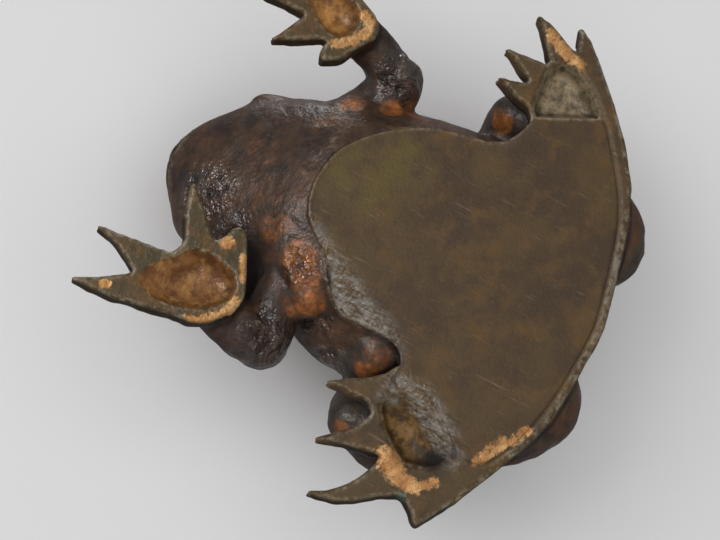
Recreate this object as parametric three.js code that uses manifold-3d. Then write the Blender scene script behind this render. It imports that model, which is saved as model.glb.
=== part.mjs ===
// A cast bronze frog, sitting. Millimetres, +Z up; the frog faces -Y and its left side is +X.
// Six castings: a hollow body shell, the flat plate that closes it underneath, and four limbs whose
// spigots sit in holes in the shell. Points are given from the frog's midline, x = 0, and from the
// surface it stands on, z = 0. The whole frog is then moved so that its box is centred on the origin.
import * as THREE from "three";
import { mergeVertices } from "three/addons/utils/BufferGeometryUtils.js";
import Module from "manifold-3d";

const wasm = await Module();
wasm.setup();

// Driving dimensions
const GAP = 0.3; // clearance between neighbouring castings
const WALL = 3.6; // thickness of the shell
const PLATE_BOTTOM = 0.8; // the plate lies this far above the surface the frog stands on
const PLATE_THICKNESS = 3;
const RIM_WIDTH = 3; // raised strip between the plate and the outer edge
const RIM_HEIGHT = 7;
const RIM_FRONT = 20; // the rim and its flange lie behind this y
const SPIGOT_RADIUS = 3.2;
const CUP_DEPTH = 4; // hollow in the sole of a front foot
const CUP_BELOW = 1; // the centre of that hollow lies this far under the ground
const POCKET_DEPTH = 3.2; // hollow in the sole of a hind foot
const SOLE_HEIGHT = 8; // upper face of a hind foot's flat part
const PAW_HEIGHT = 9; // half height of the ellipsoid that makes a front foot's pad
const PAW_CENTRE = 1; // height of its centre
const TOE_HEIGHT = 1.3; // half height of a toe over its half width
const TOE_CENTRE = 0.35; // height of a toe's axis over its half height
const TOE_TIP = 0.12; // thickness of a toe's tip over that of its root
const EYE_RADIUS = 6;
const REACH = 400; // larger than the frog, for trimming blocks
const BODY_BLUNTNESS = 4; // how late the body narrows towards its two ends
const LIMB_BLUNTNESS = 0.5; // how late a limb narrows towards its ends; smaller is later
const BODY_SIDES = 40;
const BODY_RINGS = 30;
const LIMB_SIDES = 14;
const LIMB_RINGS = 14;
const LIMB_FRAMES = 60; // directions worked out along a limb's curve
const SPHERE_SIDES = 20;
const SPHERE_RINGS = 14;
const PIN_SIDES = 16;
const TOE_SIDES = 8;
const CURVE_STEPS = 6; // straight steps in each stretch of a curved outline
const CUT_START = -1; // cuts from below begin at this height
const WELD = 1e-4; // vertices nearer than this are one
const POLE = 1e-6; // ring radius under which a vertex counts as a pole

// Body stations from snout to rump: [y, half width, lowest z, highest z]
const BODY_STATIONS = [
  [-61, 10, 30, 39],
  [-56, 15, 25, 44],
  [-48, 22, 18, 47],
  [-38, 26, 11, 50],
  [-27, 26.5, 3, 51],
  [-15, 30, -4, 53],
  [0, 34, -6, 56],
  [15, 36, -6, 57],
  [30, 34, -6, 52],
  [43, 28, -6, 42],
  [52, 20, -6, 30],
  [58, 13, -2, 18],
];
const EYE = { x: 15, y: -41, z: 46 };

// The underside's outline, counter-clockwise seen from above, from the left little toe round the front
// of the belly to the right one, and back along the outer edge behind the frog.
const BELLY_FRONT = [
  [-35, 18],
  [-29.4, 14.7],
  [-27.8, 7.4],
  [-28.3, -0.8],
  [-24.4, -6.7],
  [-16.6, -12.1],
  [-10.8, -19.6],
  [-3.3, -23],
  [1.5, -23.2],
  [7.7, -22.1],
  [13.4, -18.7],
  [19.6, -12.6],
  [26.5, -1],
  [30.3, 14],
  [39, 19],
];
const OUTER_EDGE = [
  [62, 27],
  [50, 38.5],
  [35, 48.5],
  [22, 54.5],
  [5, 58.5],
  [-10, 59.2],
  [-24, 57.5],
  [-39, 53.5],
  [-56, 45],
];
// The ends of that edge lie beside the toes, where there is no plate
const EDGE_BESIDE_TOES = { left: 2, right: 1 };
// The plate stops short of the toes, at the hollow in each hind sole
const PLATE_CORNERS = {
  left: [[48.5, 35.5]],
  right: [[-46.5, 40.5], [-40, 31]],
};
// Where the rim passes from each hind foot to the body shell
const RIM_SPLIT = { left: 30, right: -14 };

const HIND = {
  left: {
    // Thigh, shank
    limbs: [
      { points: [[13, 37, 29], [30, 25, 32], [43.5, 16, 23]], radii: [14, 12, 7.5] },
      { points: [[43.5, 15.5, 18], [44, 33, 15], [28, 48, 12]], radii: [6.6, 6.6, 7.5] },
    ],
    heel: { at: [25, 50, 11], size: [11, 8.4, 8.2] },
    // Along the outer edge, then the webs between the toes, then the inner edge
    pad: [
      [22, 54.5], [35, 48.5], [50, 38.5], [62, 27],
      [61.5, 21.3], [55, 16], [48, 14.1],
      [41, 17.5], [28, 36],
    ],
    pocket: [[39.5, 20.5], [43, 18.5], [52, 18], [57.5, 20], [57, 25.5], [49, 35.5]],
    toes: [
      { root: [60, 27], tip: [67.7, 20.3], width: 3.4 },
      { root: [56.5, 21.5], tip: [65.5, 9.1], width: 4.2 },
      { root: [50, 19], tip: [53.5, 5.5], width: 3.6 },
      { root: [44, 18], tip: [45.6, 7.1], width: 3.2 },
    ],
    spigot: [[40, 19, 27], [18, 30, 32]],
  },
  right: {
    // Thigh, shank, inside of the knee
    limbs: [
      { points: [[-13, 37, 29], [-31, 24, 32], [-45.5, 14, 23]], radii: [14, 12, 7.5] },
      { points: [[-47.5, 14, 18], [-49.5, 32, 14], [-31, 51, 12]], radii: [7, 6.8, 7.3] },
      { points: [[-31.5, 11.5, 9], [-35, 13, 15], [-43, 17, 25]], radii: [5.4, 6.6, 6] },
    ],
    heel: { at: [-24, 55, 11], size: [11, 8.4, 8] },
    // Along the inner edge, then the webs between the toes, then the outer edge
    pad: [
      [-12, 59], [-24, 42], [-36, 17],
      [-45.8, 14.8], [-57.6, 21.3], [-61.9, 31.8],
      [-56, 45], [-39, 53.5], [-24, 57.5],
    ],
    pocket: [[-44, 18], [-50.5, 22.8], [-54, 31.4], [-47, 40], [-40, 31.7], [-36.5, 20]],
    toes: [
      { root: [-56, 40], tip: [-66.5, 38.4], width: 3.8 },
      { root: [-56, 27], tip: [-71.1, 11.6], width: 4.4 },
      { root: [-49, 20], tip: [-58.6, 6.9], width: 3.8 },
      { root: [-40, 18], tip: [-44.6, 3.4], width: 3.6 },
    ],
    spigot: [[-40, 18.5, 27], [-18, 30, 32]],
  },
};

const FRONT = {
  left: {
    // Upper arm, forearm
    limbs: [
      { points: [[18, -21, 23], [27, -17.5, 18], [35.5, -16, 14.5]], radii: [10, 7.5, 6] },
      { points: [[35.5, -16, 14.2], [39.5, -24, 11], [41, -33, 7]], radii: [6, 5, 5.4] },
    ],
    pad: { at: [42, -38], half: [8.5, 13], turn: 12 },
    cup: { half: [5.5, 9] },
    toes: [
      { root: [38, -34], tip: [27.8, -36], width: 3.2 },
      { root: [39, -41], tip: [27.3, -49], width: 3.6 },
      { root: [41, -45], tip: [36.5, -57.4], width: 3.6 },
      { root: [46, -45], tip: [52, -61], width: 3.8 },
    ],
    spigot: [[33, -16.5, 16], [15, -17, 21]],
  },
  right: {
    // Upper arm, forearm, ridge between the arm and the belly
    limbs: [
      { points: [[-14, -21, 13], [-27, -17.5, 12.2], [-41.8, -16.2, 13]], radii: [7, 6, 6.5] },
      { points: [[-41.8, -16.2, 13], [-41.5, -25, 10], [-38.5, -34, 7]], radii: [6.5, 6, 5.6] },
      { points: [[-16, -21.5, 9.2], [-20.5, -16, 8.4], [-27.5, -10.5, 9]], radii: [4.6, 4.8, 4.4] },
    ],
    pad: { at: [-38, -38.5], half: [8.8, 14], turn: -18 },
    cup: { half: [6, 10] },
    toes: [
      { root: [-31, -34], tip: [-20.7, -34.2], width: 3.2 },
      { root: [-32, -40], tip: [-17, -49.4], width: 3.8 },
      { root: [-37, -46], tip: [-36.9, -64.2], width: 3.8 },
      { root: [-43, -46], tip: [-50.8, -63.8], width: 4 },
    ],
    spigot: [[-33, -17.2, 12.6], [-17, -18, 14.5]],
  },
};

// A three.js geometry as a manifold solid
function solidOf(geometry) {
  const bare = geometry.clone();
  bare.deleteAttribute("normal");
  bare.deleteAttribute("uv");
  const merged = mergeVertices(bare, WELD);
  const mesh = new wasm.Mesh({
    numProp: 3,
    vertProperties: merged.attributes.position.array,
    triVerts: new Uint32Array(merged.index.array),
  });
  return new wasm.Manifold(mesh);
}

function meshOf(name, solid, material) {
  const { vertProperties, triVerts } = solid.getMesh();
  const geometry = new THREE.BufferGeometry();
  geometry.setAttribute("position", new THREE.BufferAttribute(vertProperties, 3));
  geometry.setIndex(new THREE.BufferAttribute(triVerts, 1));
  geometry.computeVertexNormals();
  const mesh = new THREE.Mesh(geometry, material);
  mesh.name = name;
  return mesh;
}

const joined = (solids) => solids.reduce((whole, next) => whole.add(next));

// The largest body of a trimmed solid, without the slivers that the trimming leaves
function largest(solid) {
  const bodies = solid.decompose();
  return bodies.reduce((best, body) => (body.volume() > best.volume() ? body : best));
}

// A unit sphere whose poles are the two ends of a form, with each vertex moved to
// place(t, side, up, ring): t runs from one pole to the other, side and up are the vertex's
// direction round the axis, and ring is the sphere's own radius there.
function spindle(sides, rings, place) {
  const geometry = new THREE.SphereGeometry(1, sides, rings);
  const position = geometry.attributes.position;
  for (let i = 0; i < position.count; i += 1) {
    const along = THREE.MathUtils.clamp(position.getY(i), -1, 1);
    const ring = Math.sqrt(1 - along * along);
    const scale = ring > POLE ? 1 / ring : 0;
    const point = place((1 - along) / 2, position.getX(i) * scale, position.getZ(i) * scale, ring);
    position.setXYZ(i, point.x, point.y, point.z);
  }
  return solidOf(geometry);
}

// Column k of the body stations as a smooth curve, at t from 0 at the snout to 1 at the rump
function stationAt(t, k) {
  const points = BODY_STATIONS.map((station, i) => new THREE.Vector2(i, station[k]));
  return new THREE.SplineCurve(points).getPoint(t).y;
}

// The body's outside, grown by the given distance, or shrunk where it is negative
function bodyForm(grow) {
  return spindle(BODY_SIDES, BODY_RINGS, (t, side, up, ring) => {
    const roundness = Math.sqrt(1 - Math.pow(1 - ring * ring, BODY_BLUNTNESS));
    const low = stationAt(t, 2) - grow;
    const high = stationAt(t, 3) + grow;
    const halfWidth = (stationAt(t, 1) + grow) * roundness;
    const middle = (low + high) / 2;
    const halfHeight = ((high - low) / 2) * roundness;
    const end = (t - 0.5) * 2 * grow;
    return new THREE.Vector3(-side * halfWidth, stationAt(t, 0) + end, middle + up * halfHeight);
  });
}

function eyeForm(side, radius) {
  const geometry = new THREE.SphereGeometry(radius, SPHERE_SIDES, SPHERE_RINGS);
  geometry.translate(side * EYE.x, EYE.y, EYE.z);
  return solidOf(geometry);
}

// A round limb along a smooth curve, with its radius given at each point of the curve
function limb({ points, radii }) {
  const curve = new THREE.CatmullRomCurve3(points.map((p) => new THREE.Vector3(...p)));
  const thickness = new THREE.SplineCurve(radii.map((r, i) => new THREE.Vector2(i, r)));
  const frames = curve.computeFrenetFrames(LIMB_FRAMES);
  return spindle(LIMB_SIDES, LIMB_RINGS, (t, side, up, ring) => {
    const step = Math.round(t * LIMB_FRAMES);
    const radius = thickness.getPoint(t).y * Math.pow(ring, LIMB_BLUNTNESS);
    return curve
      .getPointAt(t)
      .addScaledVector(frames.normals[step], side * radius)
      .addScaledVector(frames.binormals[step], up * radius);
  });
}

function ellipsoid(at, size, turn = 0) {
  const geometry = new THREE.SphereGeometry(1, SPHERE_SIDES, SPHERE_RINGS);
  geometry.scale(...size);
  geometry.rotateZ(THREE.MathUtils.degToRad(turn));
  geometry.translate(...at);
  return solidOf(geometry);
}

// A round pin from one point to another
function pin([from, to], radius) {
  const start = new THREE.Vector3(...from);
  const run = new THREE.Vector3(...to).sub(start);
  const geometry = new THREE.CylinderGeometry(radius, radius, run.length(), PIN_SIDES);
  geometry.translate(0, run.length() / 2, 0);
  const turn = new THREE.Quaternion().setFromUnitVectors(new THREE.Vector3(0, 1, 0), run.normalize());
  geometry.applyQuaternion(turn);
  geometry.translate(...from);
  return solidOf(geometry);
}

// A pointed toe, wide and low, from its root in the pad to its tip, resting on the ground
function toe({ root, tip, width }) {
  const height = width * TOE_HEIGHT;
  const run = new THREE.Vector2(...tip).sub(new THREE.Vector2(...root));
  const geometry = new THREE.CylinderGeometry(TOE_TIP, 1, run.length(), TOE_SIDES);
  geometry.rotateZ(-Math.PI / 2);
  geometry.translate(run.length() / 2, 0, 0);
  geometry.scale(1, width, height);
  geometry.rotateZ(run.angle());
  geometry.translate(root[0], root[1], height * TOE_CENTRE);
  return solidOf(geometry);
}

// The closed outline through the given corners, as a smooth curve in short straight steps
function smoothed(corners) {
  const points = corners.map(([x, y]) => new THREE.Vector3(x, y, 0));
  const curve = new THREE.CatmullRomCurve3(points, true, "centripetal");
  const steps = curve.getPoints(points.length * CURVE_STEPS).slice(1);
  return steps.map(({ x, y }) => [x, y]);
}

// An upright block of the given outline between two heights
function block(outline, low, high) {
  const shape = new THREE.Shape(outline.map(([x, y]) => new THREE.Vector2(x, y)));
  const geometry = new THREE.ExtrudeGeometry(shape, { depth: high - low, bevelEnabled: false });
  geometry.translate(0, 0, low);
  return solidOf(geometry);
}

// An outline moved inwards (or outwards where the distance is negative), along each corner's normal
function inset(outline, distance) {
  return outline.map((point, i) => {
    const before = outline[(i + outline.length - 1) % outline.length];
    const after = outline[(i + 1) % outline.length];
    const run = new THREE.Vector2(after[0] - before[0], after[1] - before[1]).normalize();
    return [point[0] - run.y * distance, point[1] + run.x * distance];
  });
}

function box(low, high) {
  const geometry = new THREE.BoxGeometry(high[0] - low[0], high[1] - low[1], high[2] - low[2]);
  geometry.translate((low[0] + high[0]) / 2, (low[1] + high[1]) / 2, (low[2] + high[2]) / 2);
  return solidOf(geometry);
}

const belowGround = box([-REACH, -REACH, -REACH], [REACH, REACH, 0]);
const shellFloor = box([-REACH, -REACH, -REACH], [REACH, REACH, PLATE_BOTTOM + PLATE_THICKNESS + GAP]);

const undersideOutline = smoothed([...BELLY_FRONT, ...OUTER_EDGE]);
const rearEdge = OUTER_EDGE.length - EDGE_BESIDE_TOES.right;
const plateOutline = smoothed([
  ...BELLY_FRONT,
  ...PLATE_CORNERS.left,
  ...inset(OUTER_EDGE, RIM_WIDTH).slice(EDGE_BESIDE_TOES.left, rearEdge),
  ...PLATE_CORNERS.right,
]);
const plateOpening = block(inset(plateOutline, -GAP), CUT_START, PLATE_BOTTOM + PLATE_THICKNESS + GAP);

// The base under the frog between two values of x: a flange over the plate, with the rim beside it
function baseBetween(fromX, toX) {
  const slice = box([fromX, RIM_FRONT, CUT_START], [toX, REACH, RIM_HEIGHT]);
  return block(undersideOutline, 0, RIM_HEIGHT).intersect(slice);
}

function basePlate() {
  let plate = block(plateOutline, PLATE_BOTTOM, PLATE_BOTTOM + PLATE_THICKNESS);
  for (const side of ["left", "right"]) {
    plate = plate.subtract(block(smoothed(HIND[side].pocket), CUT_START, RIM_HEIGHT));
  }
  return largest(plate);
}

const hollowBody = bodyForm(0).add(eyeForm(1, EYE_RADIUS)).add(eyeForm(-1, EYE_RADIUS));
const bodyClearance = bodyForm(GAP).subtract(shellFloor);
const bodyBaseClearance = box(
  [RIM_SPLIT.right - GAP / 2, -REACH, CUT_START],
  [RIM_SPLIT.left + GAP / 2, REACH, RIM_HEIGHT + GAP],
);
const legs = [...Object.values(HIND), ...Object.values(FRONT)];

function bodyShell() {
  const outside = hollowBody.subtract(shellFloor);
  const base = baseBetween(RIM_SPLIT.right + GAP / 2, RIM_SPLIT.left - GAP / 2);
  const holes = joined(legs.map(({ spigot }) => pin(spigot, SPIGOT_RADIUS + GAP)));
  const hollow = joined([bodyForm(-WALL), holes, plateOpening]);
  return largest(outside.add(base).subtract(hollow));
}

function hindLeg({ limbs, heel, pad, pocket, toes, spigot }, base) {
  const sole = block(smoothed(pad), 0, SOLE_HEIGHT);
  const whole = joined([
    ...limbs.map(limb),
    ellipsoid(heel.at, heel.size),
    sole,
    base,
    ...toes.map(toe),
  ]);
  const clearance = joined([bodyClearance, bodyBaseClearance, belowGround, plateOpening]);
  const trimmed = whole.subtract(clearance);
  const pocketSpace = block(smoothed(pocket), CUT_START, PLATE_BOTTOM + PLATE_THICKNESS + POCKET_DEPTH);
  return largest(trimmed.subtract(pocketSpace).add(pin(spigot, SPIGOT_RADIUS)));
}

function frontLeg({ limbs, pad, cup, toes, spigot }) {
  const sole = ellipsoid([...pad.at, PAW_CENTRE], [...pad.half, PAW_HEIGHT], pad.turn);
  const whole = joined([...limbs.map(limb), sole, ...toes.map(toe)]);
  const hollow = ellipsoid([...pad.at, -CUP_BELOW], [...cup.half, CUP_DEPTH + CUP_BELOW], pad.turn);
  const trimmed = whole.subtract(joined([bodyClearance, belowGround, hollow]));
  return largest(trimmed.add(pin(spigot, SPIGOT_RADIUS)));
}

const bronze = (colour, roughness) =>
  new THREE.MeshStandardMaterial({ color: colour, roughness, metalness: 0.9 });

const leftBase = baseBetween(RIM_SPLIT.left + GAP / 2, REACH);
const rightBase = baseBetween(-REACH, RIM_SPLIT.right - GAP / 2);

const frog = new THREE.Group();
frog.add(
  meshOf("body_shell", bodyShell(), bronze("#4f4139", 0.4)),
  meshOf("base_plate", basePlate(), bronze("#513f2e", 0.5)),
  meshOf("front_leg_left", frontLeg(FRONT.left), bronze("#4f4339", 0.45)),
  meshOf("front_leg_right", frontLeg(FRONT.right), bronze("#423b33", 0.45)),
  meshOf("hind_leg_left", hindLeg(HIND.left, leftBase), bronze("#5c4a35", 0.45)),
  meshOf("hind_leg_right", hindLeg(HIND.right, rightBase), bronze("#5c4a35", 0.45)),
);

// The origin is the centre of the frog's box, on the surface that it stands on
const extent = new THREE.Box3().setFromObject(frog);
const centre = extent.getCenter(new THREE.Vector3());
frog.position.set(-centre.x, -centre.y, 0);

export default frog;
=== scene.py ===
"""The cast bronze frog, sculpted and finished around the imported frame.

The frog is modelled as a field of signed distances, in millimetres from its midline and from the
surface it stands on. Each casting is the part of that field nearest to it, and becomes a mesh.
"""
import math

import bpy
import numpy as np
from mathutils import Matrix, Vector

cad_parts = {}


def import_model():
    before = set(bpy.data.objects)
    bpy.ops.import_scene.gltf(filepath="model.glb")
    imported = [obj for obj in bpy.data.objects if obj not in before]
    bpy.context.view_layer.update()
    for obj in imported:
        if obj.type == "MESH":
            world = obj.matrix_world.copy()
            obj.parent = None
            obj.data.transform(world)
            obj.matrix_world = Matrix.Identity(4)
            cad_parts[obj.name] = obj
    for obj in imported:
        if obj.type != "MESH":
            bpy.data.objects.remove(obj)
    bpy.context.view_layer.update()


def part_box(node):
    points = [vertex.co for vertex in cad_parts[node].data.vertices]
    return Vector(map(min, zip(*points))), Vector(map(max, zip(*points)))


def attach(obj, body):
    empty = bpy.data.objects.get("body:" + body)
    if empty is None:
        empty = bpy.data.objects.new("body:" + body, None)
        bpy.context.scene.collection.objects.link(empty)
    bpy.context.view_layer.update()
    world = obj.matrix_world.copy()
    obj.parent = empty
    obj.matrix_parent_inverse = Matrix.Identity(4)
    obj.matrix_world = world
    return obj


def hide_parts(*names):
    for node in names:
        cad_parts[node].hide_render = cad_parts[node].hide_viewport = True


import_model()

# ---------------------------------------------------------------- sizes, in millimetres
MM = 0.001
BODY_LOW, BODY_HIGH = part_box("body_shell")
PLATE_LOW, PLATE_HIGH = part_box("base_plate")
SNOUT_Y = -61.0                    # the snout, measured along the midline
MIDLINE_X = (BODY_LOW[0] + BODY_HIGH[0]) / 2 / MM
FRONT_Y = BODY_LOW[1] / MM - SNOUT_Y
PLATE_BOTTOM = PLATE_LOW[2] / MM
PLATE_TOP = PLATE_HIGH[2] / MM
BACK_TOP = BODY_HIGH[2] / MM
WALL = 3.6                         # thickness of the body shell
RIM = 3.0                          # width of the rim beside the plate
RIM_TOP = 7.0                      # its upper edge
POCKET_DEPTH = 5.2                 # of the hollows in the hind feet
CUP_DEPTH = 4.8                    # of the hollows in the front feet
SEAM_LAP = 0.35                    # neighbouring castings run this far into each other
SEAM_DIP = 0.5                     # and sink this far under them, for each millimetre of overlap
BELLY_FRONT_END = 5.0              # in front of this y the belly's slab is all the body's,
BELLY_FRONT_HALF = 35.0            # out to this far from the midline
FAR = 30.0                         # distance given to everything out of reach
BLOCK_MARGIN = 7.0                 # each casting's block reaches this far past its CAD box
LATTICE_HALF = 90.0                # half the side of the cube that the noise is made in
COARSE = 1.0
BODY_STEP = 0.55 * COARSE
FINE_STEP = 0.42 * COARSE

# Body stations from snout to rump: y, half width, lowest z, highest z
BODY_STATIONS = np.array([
    (-61, 9, 30, 39),
    (-56, 13, 25, 44),
    (-48, 20.5, 18, 47),
    (-38, 25, 11, 50),
    (-27, 27, 3, 51),
    (-15, 30, -4, 53),
    (0, 34, -6, 56),
    (15, 36, -6, 57),
    (30, 34, -6, 52),
    (43, 28, -6, 42),
    (52, 20, -6, 30),
    (58, 13, -2, 18),
], float)
HEAD_TURN = [(-61, -3.8), (-52, -4.3), (-44, -3.3), (-34, -1.4), (-22, 0), (60, 0)]  # y, sideways shift
SECTION_POWER = 2.25               # 2 would make the body's sections ellipses; more is squarer
BODY_BLUNTNESS = 8                 # how suddenly the body closes at its ends
HEAD_SHIFT = -3.0                  # sideways, at the eyes
EYE = np.array((15.0, -41.0, 46.0))
EYE_RADIUS = 5.4
BACK_RIDGE = [(13, -34, 49.5), (16.5, -18, 50), (18, 0, 52), (17, 16, 53), (13, 32, 48.5)]

BELLY_FRONT = [(-35, 18), (-29.4, 14.7), (-27.8, 7.4), (-28.3, -0.8), (-24.4, -6.7), (-16.6, -12.1),
               (-14.1, -15.6), (-10.8, -19.6), (-8, -21.5), (-3.3, -23), (1.5, -23.2), (7.7, -22.1),
               (13.4, -18.7), (19.6, -12.6), (26.5, -1), (30.3, 14), (39, 19)]
WORN_SLOPE = [(-13.5, -13.1), (-27.2, 14.6)]     # where the belly begins to rise to its right edge
REAR_EDGE = [(36.5, 49.6), (25.4, 53.6), (11, 57), (-1, 59.2), (-11, 58.8), (-22, 57.8)]

# The feet in plan: toe tips and the webs between them, anticlockwise seen from above. A hind
# foot's outline is a stretch of the base's own. Its pad is the foot without its toes.
HIND_FEET = {
    "left": {
        "outline": [(39.4, 18.8), (41.5, 16.5), (42.4, 11.9), (45.4, 6.2), (46.9, 10.3), (48, 13.5),
                    (50.3, 9.4), (53.2, 4.6), (54.5, 10.5), (54.9, 16.2), (58.8, 13), (62, 10.5),
                    (65.3, 8.2), (65.3, 12.1), (64, 15.3), (62.2, 19), (61.5, 21.3), (67.8, 19.5),
                    (66.5, 23.2), (61.4, 28.6), (53.7, 36.3), (45.5, 43.5), (36.5, 49.6)],
        "pad": [(36, 20), (41.5, 17.5), (48, 14.5), (55, 17.5), (60.5, 21.5), (62, 27), (53.2, 35.8),
                (45, 42.9), (36, 49)],
        "pocket": [(40, 19.4), (43, 17.6), (47.3, 16.9), (52.5, 16.6), (56, 17.2), (57.6, 20),
                   (57, 24.2), (53.3, 30.2), (48.2, 35.2)],
        "slope": 2.5,
        "split": 30.0,
    },
    "right": {
        "outline": [(-22, 57.8), (-28, 57), (-34.4, 55), (-45.5, 50), (-56.7, 44.6), (-64, 40.4),
                    (-67.4, 38.3), (-66.4, 36.2), (-64.7, 35), (-62.7, 32.5), (-62.4, 30.9),
                    (-64.6, 27), (-68.5, 22), (-71, 17), (-71.8, 12.5), (-71.2, 10.4), (-68.1, 14.9),
                    (-65.3, 17.7), (-62.3, 19.8), (-59, 21.4), (-55.5, 22.4), (-57.2, 14),
                    (-59, 6.2), (-54.8, 9.6), (-52.2, 12.5), (-47.3, 15.6), (-45.2, 13.1),
                    (-45.4, 7.6), (-45, 2.4), (-41.8, 5.8), (-38.7, 11.2), (-36, 14.4), (-33, 16.4)],
        "pad": [(-22, 57.8), (-34.4, 55), (-45.5, 50), (-56.7, 44.6), (-61, 39), (-60, 30),
                (-56, 24), (-50, 18), (-44, 15), (-36, 16)],
        "pocket": [(-44.2, 16.8), (-48.9, 20.6), (-52.2, 25), (-54.2, 28.8), (-52.2, 34.7),
                   (-48.2, 39.2), (-45.9, 39.8), (-41.5, 35), (-38.2, 30.6), (-35.4, 25),
                   (-34.8, 20.3), (-37.2, 17.4)],
        "slope": 10.0,
        "split": -14.0,
    },
}
FRONT_FEET = {
    "left": {
        "outline": [(26.6, -36.1), (29.5, -37.3), (32.4, -37.4), (28, -45), (26.2, -49.6), (29.9, -48.2),
                    (35.8, -45.4), (35.6, -51), (36.4, -58.6), (38.6, -53), (42, -49.5), (47, -54),
                    (52.6, -62), (51.5, -54), (50, -46), (48.5, -38), (47, -33.2), (45, -28.7),
                    (41.9, -26.1), (38.8, -26.2), (36, -27.7), (33, -29.6), (29.8, -31)],
        "pad": [(32, -33), (33, -38), (36, -44), (42, -47.5), (48, -46), (48.5, -38), (47, -33.2),
                (45, -28.7), (41.9, -26.1), (38.8, -26.2), (35, -28.5)],
        "cup": [(39.7, -46.5), (37, -42.7), (35.2, -38.7), (34.6, -35.5), (36, -33), (38.8, -31.6),
                (42.2, -31.8), (45, -34.2), (46.2, -39), (46, -44), (43.5, -47.3)],
    },
    "right": {
        "outline": [(-51.3, -65.4), (-47.1, -59), (-43, -53), (-39.7, -58.6), (-36.7, -65.8),
                    (-35.3, -58.6), (-34.4, -51), (-33.9, -46.6), (-30.6, -45.3), (-24.3, -48.3),
                    (-15.8, -49.9), (-20.7, -44.1), (-26.3, -38.6), (-23.8, -36.6), (-21.4, -36.3),
                    (-20, -34.6), (-20.6, -32.4), (-22.8, -31), (-28.8, -28), (-34.4, -25.4),
                    (-37.8, -25.2), (-41.9, -26.5), (-46, -30), (-48, -34), (-48.5, -39.5),
                    (-50, -46.9), (-51.6, -54.4)],
        "pad": [(-44, -52), (-34.5, -47.5), (-29, -43), (-26.5, -38.6), (-26.5, -31), (-30, -27.5),
                (-37.8, -25.2), (-41.9, -26.5), (-46, -30), (-48, -34), (-48.5, -39.5), (-49.6, -48)],
        "cup": [(-40.5, -50.8), (-35.2, -46.9), (-30.3, -42), (-29.6, -36.6), (-31.2, -30.3),
                (-34.5, -27.9), (-38.3, -28.2), (-43, -32.6), (-45.9, -39.8), (-46.2, -46), (-44.4, -50.6)],
    },
}
PITTED = [(-13, -48, 18, 11), (-42, -16, 8, 9.5), (37, -17, 10, 8.5), (-27, -3, 14, 9), (-20, -36, 16, 8),
          (-36, 2, 16, 6.5), (-21, -16, 5, 6)]       # coarse casting: x, y, z, radius
# Each limb's round parts: points along its middle, and the radius at each
HIND_LIMBS = {
    "left": [
        ([(13, 37, 29), (30, 25, 32), (43.5, 16, 23)], [14, 12, 6.5]),
        ([(43.5, 15.5, 17), (44, 33, 15), (30, 46, 12)], [5.8, 6.6, 7.5]),
        ([(30.5, 45.5, 10), (25, 50.5, 11), (19.5, 52.2, 11)], [6.6, 8.4, 8.2]),
    ],
    "right": [
        ([(-13, 37, 29), (-31, 24, 32), (-45.5, 14, 23)], [14, 12, 7]),
        ([(-48.5, 14, 16), (-49.5, 32, 14), (-33, 50, 12)], [7, 6.8, 7.3]),
        ([(-34, 49.6, 10), (-24, 55, 11), (-16, 53, 11)], [7.2, 8.4, 6.2]),
        ([(-31.5, 11, 9), (-33, 9, 16)], [5.2, 6]),
    ],
}
FRONT_LIMBS = {
    "left": [
        ([(18, -21, 23), (27, -17.5, 18), (33, -16, 15.5)], [10, 7.5, 6.2]),
        ([(33, -16, 15.5), (36.5, -16.2, 14)], [6.2, 5.6]),
        ([(36.3, -16.2, 14), (39.5, -24, 11), (41, -33, 7)], [5.6, 5, 5.4]),
    ],
    "right": [
        ([(-14, -21, 13), (-23.5, -18, 12), (-32, -17.4, 12.5), (-41.8, -16.2, 13)], [7, 6, 6, 6.5]),
        ([(-41.8, -16.2, 13), (-41.5, -25, 10), (-38.5, -34, 7)], [6.3, 6, 5.6]),
    ],
}
ARM_RIDGE = ([(-16, -21.5, 9.2), (-20.5, -16, 8), (-27.5, -10.5, 8.6)], [4.6, 5, 4.4])
TIP_RADIUS = 0.85                  # of a toe, in plan
TIP_ANGLE = math.radians(72)       # corners sharper than this are toe tips
CORNER_CUT = 1.0                   # other corners are eased over this much of each side


# ---------------------------------------------------------------- distance fields

class Block:
    """An open grid over a box, in millimetres from the midline."""

    def __init__(self, low, high, step):
        self.low = np.array(low, float)
        self.step = step
        counts = np.ceil((np.array(high, float) - self.low) / step).astype(int) + 1
        self.axes = [self.low[i] + step * np.arange(counts[i]) for i in range(3)]
        self.x = self.axes[0].astype(np.float32)[:, None, None]
        self.y = self.axes[1].astype(np.float32)[None, :, None]
        self.z = self.axes[2].astype(np.float32)[None, None, :]
        self.shape = tuple(counts)

    def blank(self):
        return np.full(self.shape, FAR, np.float32)

    def near(self, low, high):
        """The slices of the grid between two corners, or None where they hold none of it."""
        slices = []
        for axis in range(3):
            first, last = np.searchsorted(self.axes[axis], (low[axis], high[axis]))
            if first >= last:
                return None
            slices.append(slice(first, last))
        return tuple(slices)

    def merge(self, field, shape, blend, reach, sign):
        distance, low, high = shape
        part = self.near(low - reach, high + reach)
        if part is not None:
            new = distance(self.x[part[0]], self.y[:, part[1]], self.z[:, :, part[2]])
            field[part] = sign * smooth_min(sign * field[part], new, blend)

    def add(self, field, shape, blend):
        """Joins a shape to the field, with a fillet of about the given size."""
        self.merge(field, shape, blend, blend + 2, 1)

    def cut(self, field, shape, blend):
        """Takes a shape away from the field."""
        self.merge(field, shape, blend, 2, -1)

    def away(self, at):
        """Distance from a point."""
        return np.sqrt((self.x - at[0]) ** 2 + (self.y - at[1]) ** 2 + (self.z - at[2]) ** 2)


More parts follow.
